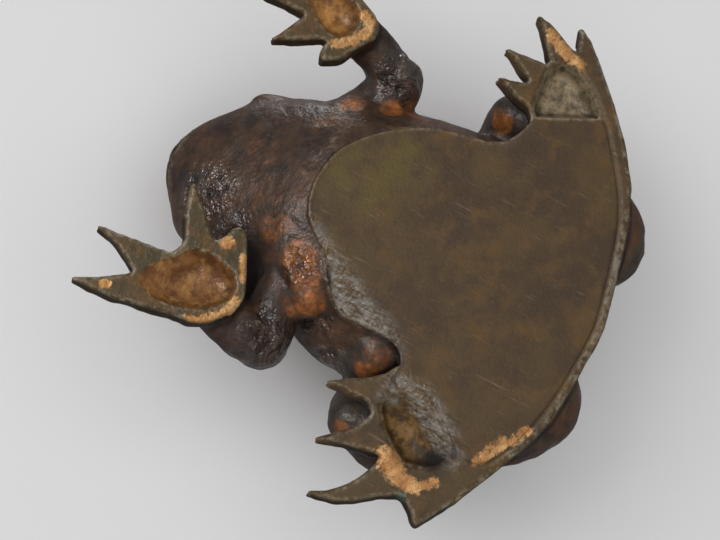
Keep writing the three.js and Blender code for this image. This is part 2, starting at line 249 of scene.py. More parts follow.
def smooth_min(a, b, blend):
    """The smaller of two distances, with a fillet where they meet."""
    mix = np.clip(0.5 + 0.5 * (b - a) / blend, 0, 1)
    return b + (a - b) * mix - blend * mix * (1 - mix)


def smooth_step(value, start, end):
    """Rises from 0 at the start to 1 at the end, or the other way round where the start is larger."""
    t = np.clip((value - start) / (end - start), 0, 1)
    return t * t * (3 - 2 * t)


def fall(value, start, end):
    return 1 - smooth_step(value, start, end)


def fade(away, radius):
    """One in the middle of a spot, falling to nothing just past its radius."""
    return fall(away, 0.45 * radius, 1.15 * radius)


def curve_points(points, count):
    """Points along a smooth curve through the given ones."""
    points = np.array(points, float)
    padded = np.vstack([2 * points[:1] - points[1:2], points, 2 * points[-1:] - points[-2:-1]])
    last = len(points) - 1
    at = np.linspace(0, last, count)
    index = np.minimum(at.astype(int), last - 1)
    t = (at - index)[:, None]
    p0, p1, p2, p3 = (padded[index + i] for i in range(4))
    return 0.5 * (2 * p1 + (p2 - p0) * t + (2 * p0 - 5 * p1 + 4 * p2 - p3) * t ** 2
                  + (3 * p1 - p0 - 3 * p2 + p3) * t ** 3)


def ellipsoid(at, size):
    at = np.array(at, float)
    size = np.array(size, float)

    def distance(x, y, z):
        u, v, w = (x - at[0]) / size[0], (y - at[1]) / size[1], (z - at[2]) / size[2]
        length = np.sqrt(u * u + v * v + w * w)
        slope = np.sqrt((u / size[0]) ** 2 + (v / size[1]) ** 2 + (w / size[2]) ** 2)
        return length * (length - 1) / np.maximum(slope, 1e-4)

    return distance, at - size, at + size


def bone(start, end, start_radius, end_radius):
    start = np.array(start, float)
    run = np.array(end, float) - start
    radius = max(start_radius, end_radius)

    def distance(x, y, z):
        px, py, pz = x - start[0], y - start[1], z - start[2]
        t = np.clip((px * run[0] + py * run[1] + pz * run[2]) / (run @ run), 0, 1)
        away = np.sqrt((px - run[0] * t) ** 2 + (py - run[1] * t) ** 2 + (pz - run[2] * t) ** 2)
        return away - (start_radius + (end_radius - start_radius) * t)

    return distance, np.minimum(start, start + run) - radius, np.maximum(start, start + run) + radius


def add_limb(block, field, points, radii, blend):
    """A round limb along a smooth curve."""
    count = 3 * len(points)
    path = curve_points(points, count)
    widths = curve_points([(r,) for r in radii], count)[:, 0]
    for i in range(count - 1):
        block.add(field, bone(path[i], path[i + 1], widths[i], widths[i + 1]), blend)


def plan_distance(x, y, points):
    """Distance to a closed outline in plan, negative inside it."""
    nearest = np.full(x.shape, 1e6, np.float32)
    inside = np.zeros(x.shape, bool)
    for (ax, ay), (bx, by) in zip(points, np.roll(points, -1, axis=0)):
        ex, ey = bx - ax, by - ay
        t = np.clip(((x - ax) * ex + (y - ay) * ey) / (ex * ex + ey * ey + 1e-9), 0, 1)
        nearest = np.minimum(nearest, (x - ax - ex * t) ** 2 + (y - ay - ey * t) ** 2)
        if ay != by:
            inside ^= ((ay > y) != (by > y)) & (x < ax + (y - ay) * ex / ey)
    return np.where(inside, -1, 1) * np.sqrt(nearest)


def outline_distance(block, points):
    x, y = np.broadcast_arrays(block.x[:, :, 0], block.y[:, :, 0])
    return plan_distance(x, y, points)[:, :, None]


def noise(block, scale, seed):
    """Smooth noise of about unit size, with lumps of the given scale. The same in every block."""
    count = int(2 * LATTICE_HALF / scale) + 5
    values = np.random.default_rng(seed).standard_normal((count,) * 3).astype(np.float32)
    for axis, coordinates in enumerate(block.axes):
        at = (coordinates + LATTICE_HALF) / scale
        base = at.astype(int)
        f = at - base
        weights = ((1 - f) ** 3 / 6, (3 * f ** 3 - 6 * f ** 2 + 4) / 6,
                   (-3 * f ** 3 + 3 * f ** 2 + 3 * f + 1) / 6, f ** 3 / 6)
        spread = np.zeros((len(at), count), np.float32)
        for i, weight in enumerate(weights):
            spread[np.arange(len(at)), base + i] += weight
        values = np.moveaxis(np.tensordot(spread, values, (1, axis)), 0, axis)
    return values * 2.0


# ---------------------------------------------------------------- the frog's forms
BELLY_CURVE = curve_points(BELLY_FRONT, 40)[1:-1]


def along_y(values):
    """A run of values along y, shaped to spread over a block."""
    return values.astype(np.float32)[None, :, None]


def trunk(block):
    """The body from snout to rump, as a run of rounded sections."""
    stations = curve_points(BODY_STATIONS, 200)
    y = block.axes[1]
    spread = np.linspace(-1, 1, len(stations))
    along = np.clip(np.interp(y, stations[:, 0], spread), -0.9995, 0.9995)
    roundness = np.sqrt(1 - np.abs(along) ** BODY_BLUNTNESS)
    place = np.interp(along, spread, np.arange(len(stations)))
    width, low, high = (np.interp(place, np.arange(len(stations)), stations[:, i]) for i in (1, 2, 3))
    turn = np.array(HEAD_TURN, float)
    shift = along_y(np.interp(y, turn[:, 0], turn[:, 1]))
    half_width = along_y(width * roundness)
    half_height = along_y((high - low) / 2 * roundness)
    middle = along_y((high + low) / 2)
    past = along_y(np.maximum(SNOUT_Y - y, y - BODY_STATIONS[-1, 0]))
    power = SECTION_POWER
    u = np.abs(block.x - shift) / half_width
    v = np.abs(block.z - middle) / half_height
    total = np.maximum(u ** power + v ** power, 1e-6)
    level = total ** (1 / power)
    share = total ** (1 / power - 1)
    slope = share * np.sqrt((u ** (power - 1) / half_width) ** 2 + (v ** (power - 1) / half_height) ** 2)
    distance = np.maximum((level - 1) / np.maximum(slope, 1e-3), -12)
    beyond = np.sqrt(np.maximum(distance, 0) ** 2 + np.maximum(past, 0) ** 2)
    return np.where(past > 0, beyond, distance).astype(np.float32)


def base_outline():
    """The whole rim on the ground, with the hind feet and their toes."""
    rear = curve_points(REAR_EDGE, 20)[1:-1]
    return np.vstack([BELLY_CURVE, HIND_FEET["left"]["outline"], rear, HIND_FEET["right"]["outline"]])


def base_pad():
    """The same without the toes."""
    return np.vstack([BELLY_CURVE, HIND_FEET["left"]["pad"], REAR_EDGE[1:-1], HIND_FEET["right"]["pad"]])


def plate_outline():
    """The plate's edge: along the belly, past the hind feet's pockets, and inside the rear rim."""
    left = HIND_FEET["left"]["pocket"]
    right = HIND_FEET["right"]["pocket"]
    rear = [(50 - RIM, 38.5 - RIM * 0.6), (36 - RIM * 0.6, 49 - RIM), (25.4 - RIM * 0.3, 53.6 - RIM),
            (11, 57 - RIM), (-1, 59.2 - RIM), (-11, 58.8 - RIM), (-22, 57.8 - RIM), (-34, 55 - RIM),
            (-42, 51.2 - RIM), (-45.6, 48.2 - RIM)]
    return np.vstack([BELLY_CURVE, [left[0], left[-1]], curve_points(rear, 40), right[6:12]])


def rounded(outline):
    """A closed outline with round toe tips and eased corners."""
    points = np.array(outline, float)
    turned = points - points.mean(axis=0)
    area = np.sum(turned[:, 0] * np.roll(turned[:, 1], -1) - turned[:, 1] * np.roll(turned[:, 0], -1))
    result = []
    for i, at in enumerate(points):
        before = points[i - 1] - at
        after = points[(i + 1) % len(points)] - at
        to_before, to_after = np.linalg.norm(before), np.linalg.norm(after)
        before, after = before / to_before, after / to_after
        angle = math.acos(np.clip(before @ after, -1, 1))
        convex = (before[1] * after[0] - before[0] * after[1]) * area > 0
        if angle < TIP_ANGLE and convex:
            inward = (before + after) / np.linalg.norm(before + after)
            centre = at + inward * TIP_RADIUS
            start = math.atan2(-inward[1], -inward[0])
            spread = (math.pi - angle) / 2 * math.copysign(1, area)
            for turn in start + np.linspace(-spread, spread, 7):
                result.append(centre + TIP_RADIUS * np.array((math.cos(turn), math.sin(turn))))
            continue
        first = at + before * min(CORNER_CUT, to_before * 0.35)
        last = at + after * min(CORNER_CUT, to_after * 0.35)
        for t in (0, 0.35, 0.65, 1):
            result.append(first * (1 - t) ** 2 + 2 * at * t * (1 - t) + last * t * t)
    return np.array(result)


def toe_back(inward):
    """Height of a foot's back over its sole: a steep side, then a round back."""
    return 2.4 * np.minimum(inward / 0.6, 1) + 0.95 * np.clip(inward - 0.6, 0, 5)


def right_facing(block, edge):
    """How squarely an outline faces the frog's right, from the distance to it."""
    across = np.gradient(edge[:, :, 0], block.step, axis=0)[:, :, None]
    return smooth_step(-across, 0.1, 0.6)


def foot_edge(inward, toe, wide=0.0):
    """How far the rounded edge of a foot lifts off the ground."""
    bevel = 1.0 + 0.2 * toe + wide
    rise = 0.9 + 0.1 * toe
    return rise * np.maximum(1 - inward / bevel, 0) ** 1.6


def foot_wall(inward, facing):
    """The leaning side wall on a foot's right, where the sole is narrower than the back."""
    return 2.6 * facing * np.maximum(1 - inward / 1.1, 0)


def relief(block):
    """The whole underside and the backs of the hind feet, as heights over the plan."""
    edge = outline_distance(block, rounded(base_outline()))
    inward = np.maximum(-edge, 0)
    toe = smooth_step(outline_distance(block, base_pad()), -1.5, 1.5)
    front = smooth_step(block.y, 18, 12) * smooth_step(np.abs(block.x), 34, 30)
    wall = foot_wall(inward, right_facing(block, edge)) * toe
    rear = smooth_step(block.y, 34, 42) * (1 - toe)
    under = np.maximum(foot_edge(inward, toe, 0.9 * rear), wall) * (1 - front)
    back = (1 - toe) * RIM_TOP + toe * (0.6 + toe_back(inward) + 1.2 * wall)
    plate_edge = outline_distance(block, plate_outline())
    pockets = {side: outline_distance(block, rounded(foot["pocket"])) for side, foot in HIND_FEET.items()}
    recess = np.minimum(plate_edge, np.minimum(pockets["left"], pockets["right"]))
    under = np.maximum(under, PLATE_BOTTOM * smooth_step(-recess, -1.4, 0.3))
    under = np.maximum(under, worn_slope(block) * smooth_step(-plate_edge, -1.5, 0.5))
    under = under - 0.22 * np.exp(-((edge + 0.45) / 0.32) ** 2) * front
    for side, foot in HIND_FEET.items():
        pocket = np.maximum(-pockets[side], 0)
        ease = smooth_step(np.maximum(plate_edge, 0), -1, foot["slope"])
        under = np.maximum(under, POCKET_DEPTH * (1 - np.exp(-pocket / 1.1)) * ease)
    return edge, under, back, plate_edge


def past_slope_line(x, y):
    """How far a place is beyond the line where the belly begins to rise."""
    (ax, ay), (bx, by) = WORN_SLOPE
    return ((y - ay) * (bx - ax) - (x - ax) * (by - ay)) / math.hypot(bx - ax, by - ay)


def worn_slope(block):
    """The part of the belly that rises towards its front right edge."""
    beyond = past_slope_line(block.x, block.y)
    softened = (beyond + np.sqrt(beyond ** 2 + 1.5 ** 2)) / 2
    fading = smooth_step(block.y, 19, 11)
    return PLATE_BOTTOM + 0.36 * np.minimum(softened, 8) * fading


def slab(edge, under, back, z):
    """What lies inside an outline, between the heights of its underside and its back."""
    return np.maximum(edge, np.maximum((under - z) * 0.85, (z - back) * 0.6))


def front_foot(block, foot):
    """A front foot's outline, underside and back, as heights over the plan."""
    edge = outline_distance(block, rounded(foot["outline"]))
    inward = np.maximum(-edge, 0)
    toe = smooth_step(outline_distance(block, foot["pad"]), -1.5, 1.5)
    wall = foot_wall(inward, right_facing(block, edge))
    under = np.maximum(foot_edge(inward, toe), wall)
    cup = np.maximum(-outline_distance(block, rounded(foot["cup"])), 0)
    front = min(y for _, y in foot["cup"])
    deepening = 0.3 + 0.7 * smooth_step(block.y, front, front + 13)
    under = np.maximum(under, CUP_DEPTH * (1 - np.exp(-cup / 2.0)) * deepening)
    back = 0.6 + toe_back(inward) + (1 - toe) * np.minimum(1.2 * inward, 4) + 1.2 * wall
    return edge, under, back


def add_warts(block, field, seed=7):
    """Round warts over the back, the thighs and behind the eyes."""
    rng = np.random.default_rng(seed)
    for _ in range(150):
        across = rng.uniform(-1, 1)
        y = rng.uniform(-34, 50)
        size = rng.uniform(0.8, 2.2)
        half_width, low, high = (np.interp(y, BODY_STATIONS[:, 0], BODY_STATIONS[:, i]) for i in (1, 2, 3))
        angle = across * 1.25
        at = (half_width * math.sin(angle), y, (low + high) / 2 + (high - low) / 2 * math.cos(angle))
        block.add(field, ellipsoid(at, (size, size, size * 0.9)), 1.2)


def body_form(block):
    """Head, trunk and rump, with the eyes and the skin's ridges."""
    field = trunk(block)
    for side in (1, -1):
        eye = EYE * (side, 1, 1) + (HEAD_SHIFT, 0, 0)
        block.add(field, ellipsoid((side * 20, -17, 20), (11, 10, 11)), 5)
        block.add(field, ellipsoid((side * 17, 37, 26), (17, 18, 19)), 6)
        block.add(field, ellipsoid(eye, (7.6, 8.6, 6.8)), 3)
        ridge = [(side * x, y, z) for x, y, z in BACK_RIDGE]
        add_limb(block, field, ridge, [1.8, 2, 2, 2, 1.4], 2)
    block.add(field, ellipsoid((-24, 1, 22), (14, 17, 15)), 4)             # right flank
    block.add(field, ellipsoid((-30.5, -21, 25), (10, 9.5, 10)), 4)        # right armpit
    block.add(field, ellipsoid((18.0, -40, 31), (4.2, 8.5, 6)), 2.5)       # left corner of the mouth
    return field


def eyeball(side):
    """Middle of an eyeball, a little outside the middle of the bulge that holds it."""
    return EYE * (side, 1, 1) + (HEAD_SHIFT + side * 3.2, -1.6, 1.2)


def head_details(block, field):
    """The eyes, mouth, nostrils and ear discs."""
    for side in (1, -1):
        at = eyeball(side)
        block.cut(field, ellipsoid(at, (EYE_RADIUS + 0.6,) * 3), 0.5)
        block.add(field, ellipsoid(at, (EYE_RADIUS,) * 3), 0.2)
        gaze = np.array((side * 0.74, -0.42, 0.52))
        block.cut(field, ellipsoid(at + gaze * EYE_RADIUS, (1.0, 2.0, 0.8)), 0.3)
    skin = field.copy()
    mouth_z = 33.5 + 0.0035 * (block.y + 61) ** 2
    mouth = np.maximum(np.abs(block.z - mouth_z) - 0.45, -(skin + 1.3))
    mouth = np.maximum(mouth, block.y + 35)
    field[:] = -smooth_min(-field, mouth, 0.7)
    for side in (1, -1):
        block.cut(field, ellipsoid((HEAD_SHIFT + side * 4.2, -59.5, 41), (1.1, 1.8, 1.1)), 0.6)
        block.add(field, ellipsoid((side * 25.3 - 0.8, -30, 36), (2.2, 4.2, 4.2)), 0.6)
        block.cut(field, ellipsoid((side * 27.6 - 0.8, -30, 36), (1.4, 3.2, 3.2)), 0.8)


def limbs_field(block, limbs, blend):
    field = block.blank()
    for points, radii in limbs:
        add_limb(block, field, points, radii, blend)
    return field


def share_out_base(block, base, shares):
    """Divides the base's slab between the body and the hind legs."""
    left, right = HIND_FEET["left"]["split"], HIND_FEET["right"]["split"]
    belly_front = np.maximum(block.y - BELLY_FRONT_END, np.abs(block.x) - BELLY_FRONT_HALF)
    between = np.maximum(block.x - left, right - block.x)
    limits = {
        "hind_leg_left": np.maximum(left - block.x, -belly_front),
        "hind_leg_right": np.maximum(block.x - right, -belly_front),
        "body_shell": np.minimum(between, belly_front),
    }
    for name, limit in limits.items():
        shares[name] = np.minimum(shares[name], np.maximum(base, limit))


def cast_skin(block):
    """The unevenness of the casting: pitted in places, and smooth on the eyes."""
    pitted = np.zeros(block.shape, np.float32)
    for *at, radius in PITTED:
        pitted = np.maximum(pitted, fade(block.away(at), radius))
    rough = 0.2 * noise(block, 5.0, 11) + (0.12 + 0.26 * pitted) * noise(block, 2.2, 12)
    rough = rough + (0.07 + 0.2 * pitted) * noise(block, 1.1, 13)
    for side in (1, -1):
        rough = rough * smooth_step(block.away(eyeball(side)), EYE_RADIUS + 0.4, EYE_RADIUS + 1.2)
    return rough * smooth_step(block.z, 0.2, 3.0)


def frog(block):
    """Every field of the frog over a block: the whole, and each casting's own share."""
    base_edge, base_under, base_back, plate_edge = relief(block)
    base = slab(base_edge, base_under, base_back, block.z)
    body = body_form(block)
    add_warts(block, body)
    head_details(block, body)
    body = np.maximum(body, (0.95 + 0.5 * np.maximum(base_edge, 0) - block.z) * 0.7)
    shares = {"body_shell": body}
    whole = body
    for name, limbs in HIND_LIMBS.items():
        leg = limbs_field(block, limbs, 3.0)
        whole = smooth_min(whole, leg, 4.0)
        shares["hind_leg_" + name] = leg
    whole = smooth_min(whole, base, 2.0)
    floor = np.where(base_edge < 0, base_under, np.minimum(1.0 + 0.4 * base_edge, 3.5))
    for name, limbs in FRONT_LIMBS.items():
        leg = limbs_field(block, limbs, 2.0)
        if name == "right":
            add_limb(block, leg, *ARM_RIDGE, 2.5)
        edge, under, back = front_foot(block, FRONT_FEET[name])
        leg = smooth_min(leg, slab(edge, under, back, block.z), 2.0)
        whole = smooth_min(whole, leg, 2.2)
        shares["front_leg_" + name] = leg
        floor = np.where(edge < 0, under, np.minimum(floor, 0.8 + edge))
    share_out_base(block, base, shares)
    whole = np.maximum(whole, floor - block.z) + cast_skin(block)
    return whole, shares, body, plate_edge


# ---------------------------------------------------------------- meshes
CORNERS = np.array([(i, j, k) for i in (0, 1) for j in (0, 1) for k in (0, 1)])


def net_points(block, field, cells):
    """In each cell, the middle of the places where the cell's edges cross the surface."""
    total = np.zeros((len(cells), 3))
    count = np.zeros(len(cells))
    for a in CORNERS:
        for axis in range(3):
            if a[axis]:
                continue
            b = a.copy()
            b[axis] = 1
            start = field[tuple((cells + a).T)]
            end = field[tuple((cells + b).T)]
            crossed = (start < 0) != (end < 0)
            t = start[crossed] / (start[crossed] - end[crossed])
            total[crossed] += a + t[:, None] * (b - a)
            count[crossed] += 1
    return block.low + (cells + total / count[:, None]) * block.step


def surface_net(block, field):
    """The field's zero surface as quads: one vertex in each cell that it passes through."""
    inside = field < 0
    nx, ny, nz = np.array(block.shape) - 1
    filled = np.zeros((nx, ny, nz), np.int8)
    for i, j, k in CORNERS:
        filled += inside[i:nx + i, j:ny + j, k:nz + k]
    mixed = (filled > 0) & (filled < 8)
    cells = np.argwhere(mixed)
    number = np.full(mixed.shape, -1, np.int64)
    number[mixed] = np.arange(len(cells))
    quads = []
    for axis in range(3):
        second, third = (axis + 1) % 3, (axis + 2) % 3
        before = np.take(inside, range(inside.shape[axis] - 1), axis)
        after = np.take(inside, range(1, inside.shape[axis]), axis)
        edges = np.argwhere(before != after)
        good = np.ones(len(edges), bool)
        for other in (second, third):
            good &= (edges[:, other] > 0) & (edges[:, other] < block.shape[other] - 1)
        edges = edges[good]
        step_b, step_c = np.eye(3, dtype=int)[second], np.eye(3, dtype=int)[third]
        corners = [edges - step_b - step_c, edges - step_c, edges, edges - step_b]
        faces = np.stack([number[tuple(corner.T)] for corner in corners], axis=1)
        leaving = before[tuple(edges.T)]
        quads.append(np.where(leaving[:, None], faces, faces[:, ::-1]))
    return net_points(block, field, cells), np.vstack(quads)


def relax(points, quads, rounds=2, amount=0.5):
    """Moves each vertex towards the middle of its neighbours, then back, to keep the volume."""
    pairs = np.vstack([quads[:, [i, (i + 1) % 4]] for i in range(4)])
    weight = np.bincount(pairs.ravel(), minlength=len(points))
    for round_number in range(2 * rounds):
        total = np.zeros_like(points)
        for i in range(3):
            total[:, i] += np.bincount(pairs[:, 0], points[pairs[:, 1], i], len(points))
            total[:, i] += np.bincount(pairs[:, 1], points[pairs[:, 0], i], len(points))
        pull = total / weight[:, None] - points
        points = points + pull * (amount if round_number % 2 == 0 else -amount * 0.95)
    return points


def largest_part(points, quads):
    """Drops loose crumbs: keeps the connected surface with the most vertices."""
    label = np.arange(len(points))
    while True:
        lowest = label[quads].min(axis=1)
        new = label.copy()
        for i in range(4):
            np.minimum.at(new, quads[:, i], lowest)
        new = new[new]
        if (new == label).all():
            break
        label = new
    keep = label == np.bincount(label).argmax()
    renumber = np.cumsum(keep) - 1
    return points[keep], renumber[quads[keep[quads[:, 0]]]]


def make_piece(name, block, field, whole):
    points, quads = largest_part(*surface_net(block, field))
    bend = bends(block, whole, points)
    points = relax(points, quads)
    mesh = bpy.data.meshes.new(name + "_cast")
    placed = (points + (MIDLINE_X, FRONT_Y, 0)) * MM
    mesh.vertices.add(len(placed))
    mesh.vertices.foreach_set("co", placed.astype(np.float32).ravel())
    mesh.loops.add(4 * len(quads))
    mesh.loops.foreach_set("vertex_index", quads.astype(np.int32).ravel())
    mesh.polygons.add(len(quads))
    mesh.polygons.foreach_set("loop_start", np.arange(0, 4 * len(quads), 4, dtype=np.int32))
    mesh.polygons.foreach_set("loop_total", np.full(len(quads), 4, np.int32))
    mesh.update(calc_edges=True)
    mesh.validate()
    mesh.polygons.foreach_set("use_smooth", np.ones(len(mesh.polygons), bool))
    piece = bpy.data.objects.new(name + "_cast", mesh)
    bpy.context.scene.collection.objects.link(piece)
    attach(piece, "root")
    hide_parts(name)
    mark(mesh, points, bend)
    return piece


def cast(node):
    """The share of the frog that one CAD node stands for, modelled around the node's own box."""
    low, high = (np.array(corner) / MM - (MIDLINE_X, FRONT_Y, 0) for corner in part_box(node))
    step = BODY_STEP if node == "body_shell" else FINE_STEP
    block = Block(low - BLOCK_MARGIN, high + BLOCK_MARGIN, step)
    whole, shares, body, plate_edge = frog(block)
    if node == "base_plate":
        dipped = whole + SEAM_DIP * np.maximum(plate_edge, 0)
        field = np.maximum(dipped, np.maximum(plate_edge - SEAM_LAP, block.z - PLATE_TOP))
        return make_piece(node, block, field, whole)
    others = np.minimum.reduce([field for name, field in shares.items() if name != node])
    beyond = (shares[node] - others) / 2
    field = np.maximum(whole + SEAM_DIP * np.maximum(beyond, 0), beyond - SEAM_LAP)
    opening = np.maximum(plate_edge, block.z - PLATE_TOP - SEAM_LAP)
    field = np.maximum(field, -opening)
    if node == "body_shell":
        field = np.maximum(field, -(body + WALL))
    return make_piece(node, block, field, whole)


# ---------------------------------------------------------------- marks of wear and of painted shade, highlights and sheen, per vertex
# Bare metal: runs of points in plan, and the half width of the worn band
WORN = [
    ([(-48.6, -57.6), (-48.4, -56.8)], 1.3),
    ([(-25.6, -35.8), (-25.3, -35)], 1.7),
    ([(-26.8, -30.3), (-31.9, -27.7)], 1.0),
    ([(-46.6, -36), (-45.9, -32)], 0.8),
    ([(-45.9, -32), (-41.4, -28), (-37.9, -26.9)], 1.6),
    ([(43.6, -31.8), (42.4, -29.4), (39.6, -29), (36.2, -31), (33, -34.8)], 1.5),
    ([(62.4, 13.6), (60.9, 16.7), (59.5, 19.7)], 2.0),
    ([(59.5, 19.7), (58.6, 24)], 1.4),
    ([(-55, 23.4), (-57, 27.6)], 3.0),
    ([(-58, 28), (-57.9, 33.6)], 2.2),
    ([(-57.6, 34.4), (-54.6, 37.6)], 1.3),
    ([(-45.6, 44.4), (-42, 46.2)], 1.4),
    ([(-40.6, 46.8), (-38.2, 48.2)], 1.9),
    ([(-36.5, 50.3), (-32.4, 52.6)], 1.3),
]
# Brazing round the roots of the limbs and at the knees: x, y, z, radius, strength
RUST = [
    (-19, -17.5, 5, 6.5, 1.1), (-23.5, -13, 5, 6, 1.1), (-27.5, -10.5, 6, 5.5, 1.1),
    (-31, -15, 10, 5.5, 0.9), (-40, -21, 7, 4, 0.5), (-32, 11.5, 6, 6.4, 0.62),
    (-36, 10.5, 8, 4.6, 1.1), (-53.5, 11, 11, 4.4, 0.8), (28.5, -18, 16, 5.5, 1.2),
    (31.5, -17, 12, 4.5, 1.0), (26, -14, 10, 5, 1.1), (22, -22, 13, 7, 0.9), (14, -27, 10, 7, 0.6),
    (-29.5, 9.5, 6, 4.4, 0.75), (29.5, -8, 10, 5, 0.8), (34, 13.8, 7, 3.6, 1.2),
    (39, 12.5, 14, 5, 1.1), (29, 9, 5, 4.8, 0.7), (30.5, 1, 9, 4, 0.5), (-8, -31, 8, 8, 0.4),
    (-15, -26, 7, 7, 0.7), (2, -38, 12, 9, 0.4), (-4, -50, 18, 8, 0.35),
]
# Other spots: x, y, z, radius. The painted shade darkens the right armpit, the gap behind the right front
# foot, notches by the hind legs and the low end of the right hind foot's pocket. The glow is the brightest
# part of the left front foot's cup.
SPOTS = {
    "pitted": PITTED,
    "painted_shade": [(-29, -25, 20, 10.5), (-23, -31, 16, 8), (-35, 18, 8, 3), (37, 14.5, 6, 2),
             (-50.5, 36, 4, 5.5), (-46.5, 38.5, 3, 3.2)],
    "glow": [(39.9, -38.5, 4, 5.5)],
    "verdigris": [(-61.5, 31.6, 1, 1.8), (60.5, 28.5, 2, 2.5), (-33.5, -52, 1, 2)],
    "olive": [(8, -14, 1, 15), (14, -6, 1, 10)],
}


def spots(points, places):
    """Strength of the strongest spot at each point."""
    strengths = []
    for x, y, z, radius, *strength in places:
        away = np.sqrt(((points - (x, y, z)) ** 2).sum(axis=1))
        strengths.append(fade(away, radius) * (strength or [1])[0])
    return np.max(strengths, axis=0)


def worn_band(points, path, half_width):
    """One along a path in plan, falling to nothing beside it."""
    path = np.array(path, float)
    nearest = np.full(len(points), 1e6)
    for start, end in zip(path[:-1], path[1:]):
        run = end - start
        t = np.clip((points[:, :2] - start) @ run / (run @ run), 0, 1)[:, None]
        nearest = np.minimum(nearest, np.linalg.norm(points[:, :2] - start - run * t, axis=1))
    return fall(nearest, 0.2 * half_width, 1.5 * half_width)


def bends(block, whole, points):
    """How far each vertex stands out of its surroundings: above zero on edges, below in hollows."""
    level = whole
    for _ in range(3):
        for axis in range(3):
            ahead = np.roll(level, 1, axis)
            behind = np.roll(level, -1, axis)
            level = (ahead + behind + 2 * level) / 4
    rise = level - whole
    at = (points - block.low) / block.step
    base = np.clip(at.astype(int), 0, np.array(block.shape) - 2)
    part = at - base
    total = np.zeros(len(points))
    for corner in CORNERS:
        weight = np.prod(np.where(corner == 1, part, 1 - part), axis=1)
        total += weight * rise[tuple((base + corner).T)]
    return total


def rim_marks(y, z, sole, feet):
    """The bevel round the rim and the soles, rubbed and with a painted highlight, and the side wall above
    it, in painted shade.
    """
    outer = np.abs(np.minimum(sole, feet))
    behind = np.maximum(smooth_step(y, 9, 14), smooth_step(-feet, -3, -2))
    bevel = fall(outer, 1.8, 2.4) * smooth_step(z, 0.03, 0.15) * fall(z, 0.5, 0.9)
    side = fall(outer, 0.8, 1.4) * smooth_step(z, 0.6, 1.4) * fall(z, 6, 9)
    return {"bevel": bevel * behind, "side": side * behind}


def grey_sheen_mark(x, y, z, sole, off_plate, off_pocket):
    """The grey painted sheen between the plate and the right pocket, and on the slope beside the plate."""
    beside_pocket = fall(off_plate, 4.5, 7.5) * fall(off_pocket, -1, 4) * fall(z, 5.4, 6.4)
    slope = smooth_step(past_slope_line(x, y), -3.5, 2.5) * smooth_step(-sole, -0.2, 0.8)
    slope = slope * fall(z, 4.4, 5) * smooth_step(y, 18, 11) * smooth_step(x, -32, -29)
    return np.maximum(beside_pocket, slope)


def mark(mesh, points, bend):
    """Stores where the metal is worn, brazed, pitted, stained or flat, and where shade, highlights and
    sheen are painted, for the materials to read.
    """
    x, y = points[:, 0].astype(np.float32), points[:, 1].astype(np.float32)
    z = points[:, 2]
    sole = plan_distance(x, y, rounded(base_outline()))
    off_plate = plan_distance(x, y, plate_outline())

    def off(feet, key):
        return [plan_distance(x, y, rounded(foot[key])) for foot in feet.values()]

    feet = np.min(off(FRONT_FEET, "outline"), axis=0)
    cups = np.max([smooth_step(-away, -1.4, 2.2) for away in off(FRONT_FEET, "cup")], axis=0)
    off_left, off_right = off(HIND_FEET, "pocket")
    pocket_height = fall(z, 5.4, 6.4)
    marks = {name: spots(points, places) for name, places in SPOTS.items()}
    marks.update(rim_marks(y, z, sole, feet))
    marks.update({
        "rust": spots(points, RUST),
        # raised edges, where a pale highlight is painted
        "edge": np.clip((bend - 0.05) * 6, 0, 1),
        # creases and hollows, where shade is painted
        "hollow_shade": np.clip((-bend - 0.02) * 6, 0, 1),
        "worn": np.max([worn_band(points, *band) for band in WORN], axis=0) * fall(z, 0.5, 1.6),
        "flat": smooth_step(-sole, -0.2, 0.6) * fall(z, 5.4, 6.2),
        "grey": grey_sheen_mark(x, y, z, sole, off_plate, off_right),
        "foot": fall(feet, 0.2, 1.0) * fall(z, 5, 8),
        "cup": cups * fall(z, 5.2, 6.4),
        "pocket_left": smooth_step(-off_left, -0.2, 0.6) * pocket_height,
        "pocket_right": smooth_step(-off_right, -0.2, 0.6) * pocket_height * smooth_step(off_plate, 4.2, 7),
    })
    for name, values in marks.items():
        attribute = mesh.attributes.new(name, "FLOAT", "POINT")
        attribute.data.foreach_set("value", values.astype(np.float32))


